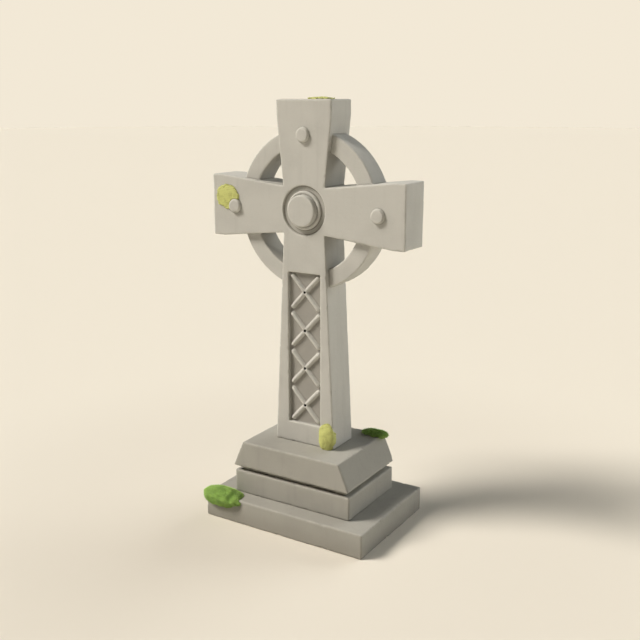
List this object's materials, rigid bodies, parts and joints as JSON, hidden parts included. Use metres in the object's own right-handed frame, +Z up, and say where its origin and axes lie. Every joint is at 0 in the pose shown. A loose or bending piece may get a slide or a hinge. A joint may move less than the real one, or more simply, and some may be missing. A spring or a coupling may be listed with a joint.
{
  "type": "ringed cross memorial",
  "caption": "Standing stone cross with a ring through its arms, a sunk lattice panel and a stepped base; a grave marker that stands by its own weight.",
  "frame": {"origin": "middle of the base slab's underside, where the memorial meets the ground", "axes": "+Z up; arms along X; the carved front faces -Y"},
  "size_m": [0.949, 0.5973, 1.862],
  "materials": {
    "base_stone": "tooled, weathered",
    "cross_stone": "dressed, weathered",
    "moss": "soft, matte",
    "lichen": "crusty, matte"
  },
  "bodies": {
    "root": {"base_slab": "base_stone", "plinth_block": "base_stone", "sloped_block": "base_stone", "ringed_cross": "cross_stone", "moss_slab_corner": "moss", "moss_block_corner": "moss", "lichen_arm": "lichen", "lichen_top": "lichen", "lichen_shaft_foot": "lichen"}
  },
  "joints": []
}
